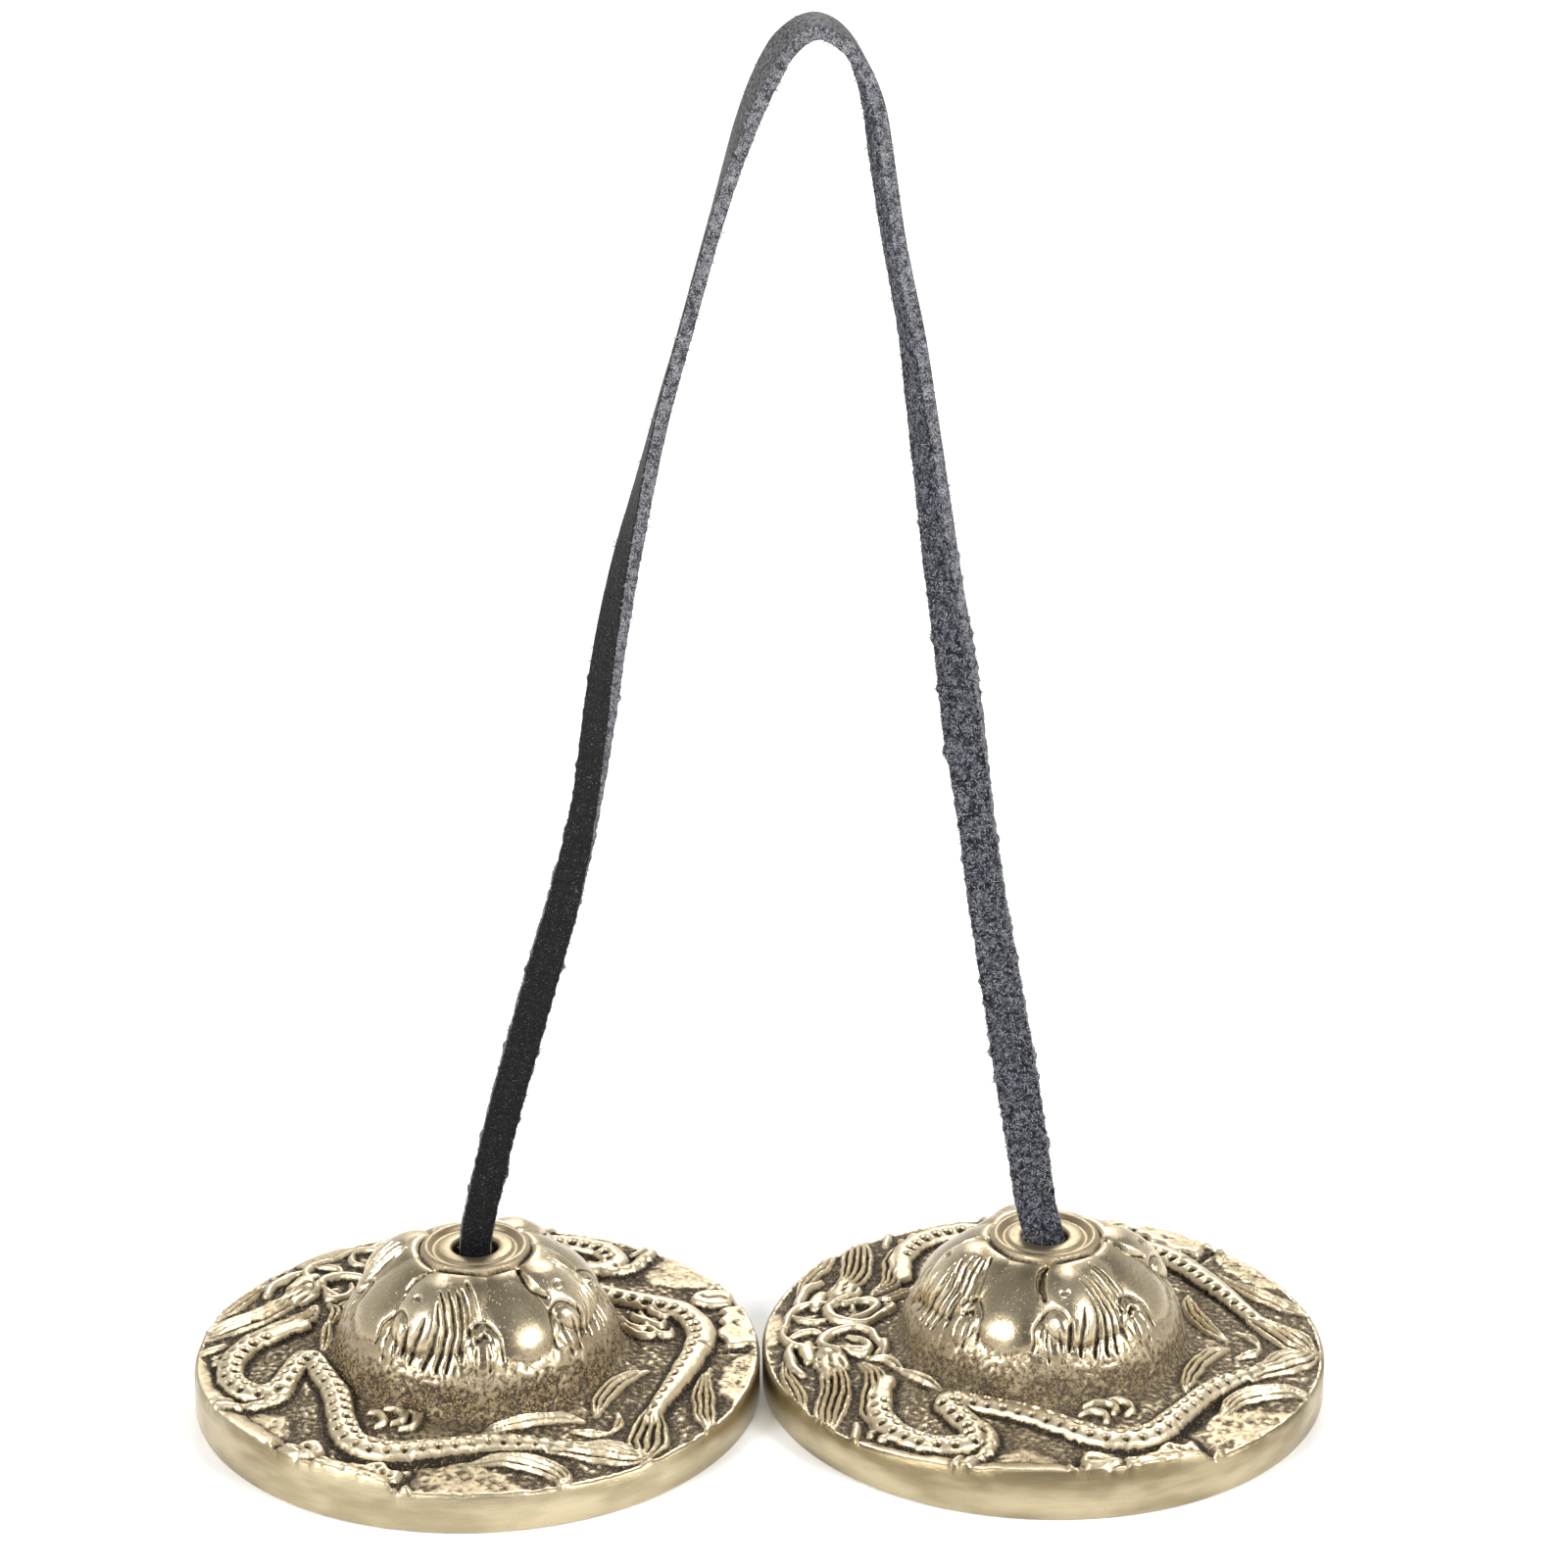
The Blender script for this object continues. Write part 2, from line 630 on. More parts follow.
CARVED = carved_section()
collar = [
    (COLLAR_RADIUS - 0.15, COLLAR_TOP - 0.35), (COLLAR_RADIUS - 0.5, COLLAR_TOP - 0.04),
    (COLLAR_RADIUS - 0.8, COLLAR_TOP), (COLLAR_INNER + 0.3, COLLAR_TOP - 0.06),
    (COLLAR_INNER, COLLAR_TOP - 0.3), (COLLAR_INNER - 0.18, GROOVE_FLOOR + 0.1),
    (GROOVE_INNER + 0.25, GROOVE_FLOOR), (GROOVE_INNER, DISC_TOP - 0.2),
    (GROOVE_INNER - 0.2, DISC_TOP), (HOLE_RADIUS + 0.35, DISC_TOP),
    (HOLE_RADIUS + 0.05, DISC_TOP - 0.15), (HOLE_RADIUS, DISC_TOP - 0.5),
]
hollow = [(MOUTH_RADIUS * sin(t), HOLLOW_HEIGHT * cos(t))
          for t in np.linspace(np.arcsin(HOLE_RADIUS / MOUTH_RADIUS), pi / 2, 22)]
under = [(MOUTH_RADIUS + 0.3, 0.0), (20.0, 0.0), (26.0, 0.0), (RIM - RIM_CHAMFER, 0.0)]
side = [(RIM, RIM_CHAMFER), (RIM, 1.6), (RIM, 3.0), (RIM, RIM_HEIGHT - RIM_CHAMFER)]
collar_line = even_curve([tuple(CARVED[-1])] + collar, 0.2)[1:]
section = np.concatenate([CARVED, collar_line, even_curve(hollow, 0.9), under, side])

bpy.ops.object.select_all(action="DESELECT")
bpy.ops.mesh.primitive_circle_add(vertices=len(section), radius=1.0)
casting = bpy.context.object
casting.name = "casting"
for vertex, (radius, height) in zip(casting.data.vertices, section):
    vertex.co = (radius, 0, height)
screw = casting.modifiers.new("turned", "SCREW")
screw.steps = screw.render_steps = SPIN_STEPS
bpy.ops.object.modifier_apply(modifier="turned")
bpy.ops.object.mode_set(mode="EDIT")
bpy.ops.mesh.select_all(action="SELECT")
bpy.ops.mesh.normals_make_consistent(inside=False)
bpy.ops.object.mode_set(mode="OBJECT")
print(f"bare casting: {len(section)} points in the section, {len(casting.data.vertices)} vertices")

# %% [markdown]
# ## Tools for the carving
# The relief was carved in the pattern from which both cymbals were cast.  A displacement
# picture is out, and sculpting by hand can't be repeated, so a few carving tools move the
# vertices along the bare surface's normals.  Each tool works beside a drawn path, whose
# points are degrees from the pattern's axis and radii in millimetres.  The pattern is one
# dragon and its mirror image, so most strokes are made twice.  All strokes waver a little,
# as a hand's do.

# %% Carving tools
TOP_RADII, TOP_HEIGHTS = CARVED[::-1, 0], CARVED[::-1, 1]
PATH_STEP = 0.12
TWINS = (1, -1)
ONE, TWIN = (1,), (-1,)


def top_height(radius):
    return np.interp(radius, TOP_RADII, TOP_HEIGHTS)


class Carving:
    """Heights over the bare casting, built up stroke by stroke."""

    def __init__(self, places, normals):
        self.places = places
        self.normals = normals
        self.height = np.zeros(len(places))
        self.strokes = 0

    def spot(self, b, r, hand=1):
        """The place on the bare casting at an angle and a radius."""
        x, y = r * cos(radians(hand * b)), r * sin(radians(hand * b))
        return np.array([x, y, top_height(np.hypot(x, y))])

    def path(self, points, hand=1):
        flat = np.array([self.spot(b, r, hand)[:2] for b, r in points])
        flat = even_curve(smooth_curve(flat, PATH_STEP), PATH_STEP)
        return np.column_stack([flat, top_height(np.hypot(flat[:, 0], flat[:, 1]))])

    def beside(self, path, reach, hand=1):
        """Points within reach of a path: which, the share along it, and the offset.

        The offset is positive on the left of a path, and on the right of a twin's.
        """
        best = np.full(len(self.places), np.inf)
        nearest = np.zeros(len(self.places), int)
        for start in range(0, len(path) - 1, 40):
            piece = path[start:start + 41]
            low, high = piece[:, :2].min(0) - reach, piece[:, :2].max(0) + reach
            xy = self.places[:, :2]
            near = np.flatnonzero((xy[:, 0] > low[0]) & (xy[:, 0] < high[0])
                                  & (xy[:, 1] > low[1]) & (xy[:, 1] < high[1]))
            if len(near) == 0:
                continue
            apart = np.linalg.norm(self.places[near][:, None] - piece[None], axis=2)
            pick = apart.argmin(axis=1)
            least = apart[np.arange(len(near)), pick]
            better = least < best[near]
            best[near[better]] = least[better]
            nearest[near[better]] = start + pick[better]
        which = np.flatnonzero(best < reach)
        k = nearest[which]
        ways = tangents(path)[k]
        left = np.cross(self.normals[which], ways)
        sign = np.sign(((self.places[which] - path[k]) * left).sum(axis=1)) * hand
        return which, k / (len(path) - 1), best[which] * sign

    def lay(self, which, swell, on_top):
        if on_top:
            self.height[which] += swell
        else:
            self.height[which] = np.maximum(self.height[which], swell)
        self.strokes += 1

    def ridge(self, points, widths, rises, fullness=0.5, hands=TWINS, on_top=False, strands=0,
              depth=0.95):
        """A rounded ridge, or a lock of strands where their number is given."""
        for hand in hands:
            path = self.path(points, hand)
            which, share, offset = self.beside(path, max(widths) * 1.02, hand)
            spots = np.linspace(0, 1, len(widths))
            half = np.interp(share, spots, widths)
            rise = np.interp(share, np.linspace(0, 1, len(rises)), rises)
            x = offset / half
            inside = np.abs(x) < 1
            swell = rise * np.clip(1 - x * x, 0, 1) ** fullness
            if strands:
                wave = np.abs(np.sin(pi * strands * (x + 1) / 2)) ** 1.6
                swell = rise * np.clip(1 - x ** 4, 0, 1) * (1 - depth + depth * wave)
            self.lay(which[inside], swell[inside], on_top)

    def plate(self, outline, rise, hands=TWINS, edge=0.4):
        """A flat raised area inside a closed outline, with a rounded edge."""
        for hand in hands:
            path = self.path(outline + outline[:1], hand)
            low, high = path[:, :2].min(0), path[:, :2].max(0)
            flat = self.places[:, :2]
            near = np.flatnonzero(((flat > low) & (flat < high)).all(axis=1))
            x, y = self.places[near, 0], self.places[near, 1]
            inside = np.zeros(len(near), bool)
            corners = path[::4]
            for a, b in zip(corners, np.roll(corners, -1, axis=0)):
                if a[1] != b[1]:
                    across = a[0] + (y - a[1]) / (b[1] - a[1]) * (b[0] - a[0])
                    inside ^= ((a[1] > y) != (b[1] > y)) & (x < across)
            which, _, offset = self.beside(path, edge)
            share = np.ones(len(self.places))
            share[which] = np.abs(offset) / edge
            near = near[inside]
            self.lay(near, rise * np.sqrt(np.clip(share[near], 0, 1)), False)

    def groove(self, points, widths, depth, hands=TWINS):
        """A rounded groove that is cut into whatever is there."""
        for hand in hands:
            path = self.path(points, hand)
            which, share, offset = self.beside(path, max(widths), hand)
            half = np.interp(share, np.linspace(0, 1, len(widths)), widths)
            cut = np.clip(1 - (offset / half) ** 2, 0, 1)
            self.height[which] -= depth * cut * cut
            self.strokes += 1

    def punch(self, points, aside, pitch, radius, depth, hands, start, end=0.98):
        """A row of round pits beside a path; aside is their offset, along the path."""
        for hand in hands:
            path = self.path(points, hand)
            count = max(1, int((end - start) * PATH_STEP * len(path) / pitch))
            for j in range(count + 1):
                share = start + (end - start) * j / count
                k = min(len(path) - 2, int(share * (len(path) - 1)))
                way = unit(path[k + 1] - path[k])
                left = np.array([-way[1], way[0], 0]) * hand
                spot = path[k] + left * np.interp(share, np.linspace(0, 1, len(aside)), aside)
                spot[2] = top_height(np.hypot(spot[0], spot[1]))
                size = np.interp(share, np.linspace(0, 1, len(radius)), radius)
                self.pit(spot, size, depth * size / max(radius))

    def dot(self, b, r, radius, depth, hands=TWINS):
        """A round pit at an angle and a radius."""
        for hand in hands:
            self.pit(self.spot(b, r, hand), radius, depth)

    def pit(self, spot, radius, depth):
        apart = self.places - spot
        near = np.flatnonzero(np.abs(apart[:, 0]) + np.abs(apart[:, 1]) < 1.5 * radius)
        x = np.linalg.norm(apart[near], axis=1) / radius
        self.height[near] -= depth * np.clip(1 - x ** 3, 0, 1)
        self.strokes += 1

    def mound(self, place, sizes, rise, fullness=0.5, hands=TWINS, on_top=False):
        """A rounded mass; its sizes are half its length the way round and half its width."""
        for hand in hands:
            b, r = radians(place[0] * hand), place[1]
            centre = np.array([r * cos(b), r * sin(b), top_height(r)])
            apart = self.places - centre
            near = np.flatnonzero(np.linalg.norm(apart, axis=1) < max(sizes) * 1.05)
            out = np.array([cos(b), sin(b), 0])
            round_way = np.array([-sin(b), cos(b), 0]) * hand
            up_slope = apart[near, 2] * (r < DOME_RADIUS)
            x = (apart[near] @ round_way) / sizes[0]
            y = np.hypot(apart[near] @ out, up_slope) / sizes[1]
            reach = x * x + y * y
            inside = reach < 1
            self.lay(near[inside], rise * (1 - reach[inside]) ** fullness, on_top)


places = np.empty(len(casting.data.vertices) * 3)
casting.data.vertices.foreach_get("co", places)
places = places.reshape(-1, 3)
normals = np.array([v.normal[:] for v in casting.data.vertices])
radius_of = np.hypot(places[:, 0], places[:, 1])
on_top_side = ((normals[:, 2] > 0.05) & (places[:, 2] > RIM_HEIGHT - 0.05)
               & (radius_of > COLLAR_INNER - 0.2))
carved = np.flatnonzero(on_top_side)
# how the strokes waver: the length of each wave and how far it pushes them aside
WOBBLE = ((2.3, 0.24), (0.8, 0.07))
wobble = np.zeros((len(carved), 3))
for wave, reach in WOBBLE:
    wobble += reach * np.array([noise.noise_vector(Vector(p) / wave) for p in places[carved]])
wobble[:, 2] = 0
carving = Carving(places[carved] + wobble, normals[carved])
print(f"{len(carved)} vertices can be carved")

# %% [markdown]
# ## The ground and the lobes of the dome
# Eight lobes swell round the dome, a smooth one and a combed one in turn, with small arched
# drops between their feet.  The combed lobes overlap their neighbours, and the furrows that
# are cut into them curl back as they fall.

# %% Dome
LOBE_PITCH = 45
SMOOTH_LOBE = 75.0
COMBED_LOBE = 27.5
DROP = 52.0


def turned(points, angle):
    return [(b + angle, r) for b, r in points]


def cut_at(middle, points, widths, depth):
    """A groove drawn about a middle that is at an angle round the dome."""
    carving.groove(turned(points, middle), widths, depth, ONE)


VALLEYS = [DROP + LOBE_PITCH * k for k in range(8)]
for middle in VALLEYS:
    cut_at(middle, [(-3, 7.0), (0, 9.0), (0, 12.0)], (0.7, 1.5, 2.0), 0.9)
for k in range(4):
    middle = SMOOTH_LOBE + 2 * LOBE_PITCH * k
    carving.mound((middle, 11.0), (4.7, 5.6), 1.15, 0.75, ONE)
    carving.mound((middle, 8.8), (3.4, 3.6), 0.75, hands=ONE)
FURROWS = [
    [(-11, 12.6), (-13.5, 14.6)],
    [(-5, 11.8), (-5.5, 13), (-8.5, 15)],
    [(-0.5, 10.2), (1.5, 11.8), (0.5, 13.6), (-2, 15.2)],
    [(-2, 9), (3, 10.4), (5.8, 12.2), (5.3, 13.8), (3.5, 15.2)],
    [(2, 8.5), (6, 9.8), (8.8, 11.0), (10.5, 12.5), (9.5, 14.2), (8, 15.2)],
    [(6, 8.0), (10.5, 9.4), (13.2, 10.8), (14.5, 12.2), (14, 13.9)],
    [(11, 8.0), (14.8, 9.3), (17.3, 10.6), (18.7, 12.6)],
]
for k in range(4):
    middle = COMBED_LOBE + 2 * LOBE_PITCH * k
    carving.mound((middle - 8, 10.6), (4.2, 5.2), 2.3, 0.8, ONE)
    carving.mound((middle + 6, 9.8), (4.8, 5.8), 1.2, 0.6, ONE)
    cut_at(middle, [(-24, 6.9), (-27.5, 7.8), (-27.5, 9.2), (-24, 10.6)], (0.5, 0.7, 0.7, 0.3), 0.8)
    for furrow in FURROWS:
        cut_at(middle, furrow, (0.12, 0.36, 0.46, 0.46, 0.3), 0.62)
    cut_at(middle, [(14.5, 7.6), (19, 9.2), (22, 11.2), (22.5, 13)], (0.3, 0.7, 0.8, 0.5), 0.6)
    carving.dot(middle - 13.5, 10.2, 0.6, 0.35, ONE)
for middle in VALLEYS:
    cut_at(middle, [(-9.2, 14.6), (-8.4, 12.9), (0, 11.5), (8.4, 12.9), (9.2, 14.6)],
           (0.25, 0.42, 0.25), 0.32)
    carving.mound((middle, 13.8), (1.75, 2.3), 0.5, hands=ONE, on_top=True)
    for aside in (-2.6, 2.8):
        cut_at(middle, [(aside, 13.3), (aside * 1.2, 14.2), (aside, 15.3)], (0.15, 0.35, 0.2), 0.35)
print(f"dome: {carving.strokes} strokes")

# %% [markdown]
# ## The dragon
# The body is one long rope with a smooth crest and rows of punched scales beside it.  A moat
# is cut round it first, as a pattern maker does to make the form stand up, and the deepest
# trough lies under the belly.

# %% Body
BODY = [
    (37, 21.5), (41, 23.2), (46, 25.3), (52.5, 27.3), (60, 28.4), (67, 28.4), (72.5, 27.3),
    (75, 25.5), (73.5, 23.7), (67.5, 21.9), (61.5, 20.6), (60, 19.6), (62.5, 18.9), (70, 18.5),
    (80, 18.5), (89.5, 19.4), (98.5, 21.4), (106.5, 24.0), (114, 25.3), (122, 25.2),
    (129.5, 24.0), (139, 22.8),
    (148, 22.4), (156, 23.0), (164, 24.7), (169.5, 26.8),
]
TWIN_BODY = BODY[:17] + [
    (106, 24.2), (115, 25.8), (124, 25.8), (134, 24.9), (144, 24.4), (154, 24.5), (163, 25.3),
    (170.5, 26.9),
]
BODY_HALF = (1.2, 1.5, 1.65, 1.65, 1.6, 1.5, 1.5, 1.6, 1.7, 1.75, 1.75, 1.6, 1.4, 1.1, 0.8)
BODY_RISE = (1.0, 1.4, 1.5, 1.5, 1.45, 1.4, 1.35, 1.35, 1.45, 1.5, 1.5, 1.5, 1.4, 1.2, 1.0)
MOAT = 1.2
SCALE_PITCH = 1.8
SCALES = (0.48, 0.66, 0.68, 0.64, 0.66, 0.68, 0.66, 0.58, 0.38)
BELLY_SCALES = (0.40, 0.52, 0.54, 0.50, 0.44, 0.46, 0.46, 0.42, 0.30)
moat = tuple(w + MOAT for w in BODY_HALF)
scale_row = tuple(0.42 * w for w in BODY_HALF)
belly_row = tuple(-0.50 * w for w in BODY_HALF)
for points, hands in ((BODY, ONE), (TWIN_BODY, TWIN)):
    carving.groove(points, moat, 0.45, hands)
    carving.ridge(points, BODY_HALF, BODY_RISE, 0.3, hands)
    carving.punch(points, scale_row, SCALE_PITCH, SCALES, 1.05, hands, 0.07)
    if hands == ONE:
        carving.punch(points, belly_row, SCALE_PITCH, BELLY_SCALES, 0.75, hands, 0.055)
trough = [(110, 27.6), (118, 28.0), (126, 27.2), (134, 25.8), (143, 24.9), (152, 24.9), (160, 26.2)]
carving.groove(trough, (0.5, 1.0, 1.2, 1.2, 1.0, 0.9, 0.4), 0.5, ONE)
print(f"dragon's body: {2 * lengths_along(carving.path(BODY))[-1]:.0f} mm of rope for the pair")

# %% [markdown]
# ## Legs, tail and flames
# Legs end in paws with long toes near the rim.  The tail opens into a tuft, and flames of
# parallel strands lick away from the body on both sides.

# %% Legs, tail and flames
# foreleg with its row of knobs and its claw
carving.ridge([(74, 22.6), (78.5, 24.4), (79.5, 27.0), (78, 29.6), (76.8, 32.3)],
              (0.8, 1.0, 0.95, 0.8, 0.6), (1.0, 1.1, 1.0, 0.9, 0.7), 0.4)
for knob in ((76.4, 23.2), (79.2, 24.5), (80.4, 26.1), (80.2, 27.8), (79.2, 29.5)):
    carving.mound(knob, (0.6, 0.6), 1.3)
for b, r in ((77.2, 24.6), (78.2, 26.6), (77.6, 28.6)):
    carving.dot(b, r, 0.3, 0.35)
carving.ridge([(74.6, 29.6), (75.2, 30.8), (74.4, 32.4)], (0.4, 0.55, 0.4), (0.6, 0.9, 0.6))
# ground left bare between the legs, and the bare plates near the rim
carving.plate([(81.5, 33.4), (81, 30.5), (82.5, 27.4), (88, 25.6), (93.5, 26.8), (97, 29.2),
               (97.6, 31.4), (97.6, 33.4)], 0.30, edge=1.3)
carving.plate([(131, 33.4), (130.2, 30.4), (132.6, 28.0), (136.5, 26.4), (142, 25.9),
               (148, 27.4), (151.5, 30), (153, 33.4)], 0.22, ONE, 1.0)
carving.plate([(131, 33.4), (130.2, 31.0), (134, 29.0), (141, 28.6), (148, 29.6), (153, 33.4)],
              0.22, TWIN, 1.0)
# front foot with its claws
carving.plate([(101.3, 31.9), (100, 29.8), (101, 27.8), (103.6, 27.0), (106.6, 27.7), (108.8, 29.2),
               (108.6, 30.9), (106, 31.7), (103.6, 32.6)], 0.95)
carving.groove([(102.6, 28.6), (104.4, 29.2), (104.6, 30.6), (106.4, 31.2)], (0.2, 0.4, 0.35, 0.2), 0.5)
carving.groove([(98.8, 29.6), (98.7, 31.2), (100.6, 32.4)], (0.3, 0.5, 0.4), 0.4)
carving.ridge([(97.9, 30.9), (98.4, 32.2), (100.6, 32.6), (102.6, 32.0)], (0.35, 0.5, 0.5, 0.35),
              (0.6, 0.8, 0.8, 0.6))
# hind leg laid along the rim, up to its heel
carving.plate([(109.4, 33.4), (109.2, 30.8), (110.6, 29.2), (112.6, 29.6), (115, 28.5), (117.4, 28.9),
               (119.8, 27.8), (122.6, 27.5), (125, 28.5), (127.6, 28.7), (127.6, 30.5), (126.4, 31.4),
               (126.8, 33.4)], 0.85)
for b, r in ((112.6, 31.6), (117.2, 30.2), (121.5, 31.6)):
    carving.groove([(b - 1.2, r + 0.6), (b, r), (b + 1.6, r + 0.2)], (0.2, 0.35, 0.2), 0.3)
carving.groove([(129, 25.6), (129.6, 28.0), (128.8, 30.4), (128.6, 32.6)], (0.4, 0.6, 0.5, 0.5), 0.45)
carving.mound((129.8, 32.0), (0.6, 0.7), 0.9)
# the hind leg and the front foot came out of the sand pitted
pitting = np.random.default_rng(5)
for _ in range(70):
    carving.dot(pitting.uniform(100, 127), pitting.uniform(27.8, 32.2),
                pitting.uniform(0.22, 0.5), pitting.uniform(0.1, 0.42), ONE)
carving.mound((0, 31.2), (4.2, 1.8), 0.4, 0.3, ONE)
# tail tuft
carving.ridge([(163, 25.0), (168, 26.2), (172.5, 27.8), (176.5, 29.4), (180, 31.2)],
              (0.9, 1.7, 2.4, 2.6, 1.0), (1.0, 1.35, 1.35, 1.25, 0.6), strands=5)
# flames over and under the tail
carving.ridge([(145, 20.4), (150, 19.3), (157, 18.8), (165, 18.9), (172, 19.7), (177.5, 21.4)],
              (0.3, 0.95, 1.25, 1.25, 1.1, 0.4), (0.5, 1.0, 1.15, 1.1, 0.95, 0.6), strands=3)
carving.ridge([(142, 26.4), (148, 25.8), (154, 26.4), (159, 28.2), (161.5, 30.4), (160.5, 32.4)],
              (0.4, 1.2, 1.6, 1.7, 1.5, 0.6), (0.5, 1.1, 1.25, 1.2, 1.05, 0.6), strands=4, hands=ONE)
carving.ridge([(139, 27.2), (146, 27.3), (153, 28.5), (159, 30.3), (163, 32.2)],
              (0.4, 1.1, 1.5, 1.5, 0.6), (0.5, 1.1, 1.25, 1.1, 0.6), strands=4, hands=TWIN)
carving.ridge([(172, 22.6), (176, 24.4), (180, 25.2)], (0.3, 0.8, 0.3), (0.5, 0.9, 0.5), strands=2)
# clouds
CLOUD = ([(0, 0.4), (3, 0.1), (6, 0.5), (7.3, 1.4), (5.5, 2.0)],
         [(5, 0), (8.5, 0.2), (11.2, 1.1), (11, 2.1), (8.8, 2.4)],
         [(-2, 1.5), (1, 1.4), (3.5, 2.1), (3.1, 2.9)])
for curl in CLOUD:
    carving.ridge([(b * 1.3 + 108, r * 1.35 + 17.2) for b, r in curl], (0.35, 0.55, 0.5, 0.35),
                  (0.7, 1.15, 1.1, 0.8))
    carving.ridge([(b * 1.5 + 105, r * 1.2 + 19.8) for b, r in curl], (0.35, 0.55, 0.5, 0.35),
                  (0.7, 1.1, 1.1, 0.8), hands=TWIN)
# the castings are thicker where the rim runs past the legs
carving.ridge([(b, 32.7) for b in range(50, 131, 8)], (1.5, 3.4, 3.6, 3.6, 1.6),
              (0.0, 0.7, 1.15, 1.55, 1.65, 1.5, 0.1), 0.9, hands=ONE, on_top=True)
print(f"legs, tail and flames: {carving.strokes} strokes so far")

# %% [markdown]
# ## The head and the mane
# The head is built up as a pattern maker would: broad ridges for the skull and the snout, a
# small round eye, then ridges for the jaw, horns and whiskers, and locks of wavy strands for
# the mane.

# %% Head and mane
carving.ridge([(11, 25.6), (16, 25.2), (22, 25.6), (26, 26.8)], (0.9, 2.0, 2.2, 1.0),
              (0.9, 1.1, 1.1, 0.9), 0.3)
carving.ridge([(9.6, 27.2), (13, 27.6), (17, 27.6)], (0.7, 1.1, 0.8), (1.0, 1.15, 0.9), 0.35)
for start, end in (((18, 26.6), (25, 27.4)), ((18.5, 25.4), (25.5, 26.0)), ((19, 24.2), (25, 24.6))):
    carving.groove([start, end], (0.2, 0.4, 0.2), 0.4)
carving.ridge([(5.5, 29.4), (3.2, 28.2), (2.6, 26.6), (4.4, 25.2)], (0.3, 0.55, 0.5, 0.3),
              (0.6, 0.95, 0.9, 0.6))
EYE = (16.2, 25.3)
carving.mound(EYE, (0.85, 0.7), 1.75)
carving.dot(*EYE, 0.32, 0.5)
carving.ridge([(19.5, 24.2), (16, 24.1), (12.5, 25.2), (10, 26.0)], (0.35, 0.5, 0.45, 0.3),
              (0.9, 1.6, 1.5, 1.1))
carving.ridge([(9, 29.3), (13, 29.6), (18, 29.8), (23, 29.2)], (0.5, 0.75, 0.8, 0.5), (0.9, 1.2, 1.2, 0.8))
carving.groove([(8.5, 28.5), (13, 28.6), (18, 28.3)], (0.2, 0.35, 0.2), 0.7)
carving.ridge([(12, 25.0), (9.5, 25.8), (4.5, 24.6), (1.8, 22.4), (2.5, 20.6), (8, 19.4),
               (15, 19.0), (18, 19.8)],
              (0.6, 0.75, 0.7, 0.6, 0.55, 0.5, 0.45, 0.3), (1.1, 1.3, 1.3, 1.2, 1.1, 1.0, 0.9, 0.6))
carving.ridge([(13, 24.2), (15.2, 22.6), (15.6, 21.2), (12, 20.6)], (0.55, 0.6, 0.5, 0.3),
              (1.1, 1.3, 1.1, 0.7))
carving.ridge([(20, 21.0), (23, 19.4), (28, 18.9), (33, 18.6)], (0.4, 0.8, 0.9, 0.4),
              (0.6, 1.0, 1.0, 0.6), strands=2)
carving.ridge([(32, 18.9), (38, 18.2), (45, 17.8), (52, 17.9)], (0.4, 0.95, 1.0, 0.4),
              (0.6, 0.95, 0.95, 0.5), strands=2)
carving.ridge([(18, 26.6), (25, 26.0), (32, 27.0), (38.5, 29.4), (44.5, 32.6)], (0.9, 1.8, 2.1, 2.1, 1.3),
              (1.0, 1.4, 1.4, 1.3, 0.8), strands=5)
carving.ridge([(24, 22.0), (31, 21.8), (38.5, 23.4), (45, 26.2), (51, 28.2), (53, 30.2)],
              (0.6, 1.4, 1.7, 1.5, 1.1, 0.4), (0.9, 1.35, 1.35, 1.25, 1.0, 0.6), strands=4)
carving.ridge([(16, 30.4), (23, 30.9), (30, 31.2), (37, 32.5)], (0.5, 1.0, 1.1, 0.5),
              (0.8, 1.1, 1.05, 0.6), strands=3)
carving.ridge([(47.5, 29.6), (50.5, 31.0), (52.5, 32.6)], (0.4, 0.6, 0.4), (0.6, 0.9, 0.6))
carving.mound((56, 29.9), (0.8, 0.7), 0.9)
# side curls round the axis of the pattern
for curl in ([(-1, 30.1), (-5, 29.9), (-9, 29.1), (-12, 26.8), (-12, 24.6)],
             [(-6, 22.6), (-9, 21.0), (-14, 20.4), (-18, 21.6), (-15, 23.0), (-11, 22.8)],
             [(-9, 19.0), (-14, 18.4), (-19, 19.0)]):
    carving.ridge(curl, (0.35, 0.65, 0.6, 0.35), (0.6, 1.1, 1.1, 0.6))
print(f"whole relief: {carving.strokes} strokes, up to {carving.height.max():.2f} mm high")

# %% [markdown]
# ## Casting and wear
# The last strokes are the foundry's: grain in the ground, softened edges, and a rim that was
# turned on a lathe, so that its edge has a thin bright burr.  What lies lower than its
# surroundings keeps the dark patina, so that measure is stored on the vertices for the
# material.

# %% Finish the carving
RIM_DIP = -0.12
RIM_LIFT = 1.75
BURR = 0.5
BURR_HOLLOWNESS, BURR_SUNKENNESS = -0.25, -0.3
HEIGHT_SHARE = 0.85
COARSE_GRAIN, BROAD_GRAIN = 0.55, 2.6
SKIRT_START, SKIRT_FADE, SKIRT_END = 13.8, 1.8, 17.5
CLOSE_ROUNDS, WIDE_ROUNDS = 10, 110
carved_places = places[carved]
seed_shift = Vector((3.3, 9.1, 0.7))
coarse, broad = (np.array([noise.noise(Vector(p) / size + seed_shift) for p in carved_places])
                 for size in (COARSE_GRAIN, BROAD_GRAIN))
on_ground = np.clip(1 - carving.height / 0.5, 0, 1) * (carving.height > -0.9)
carved_radius = np.hypot(carved_places[:, 0], carved_places[:, 1])
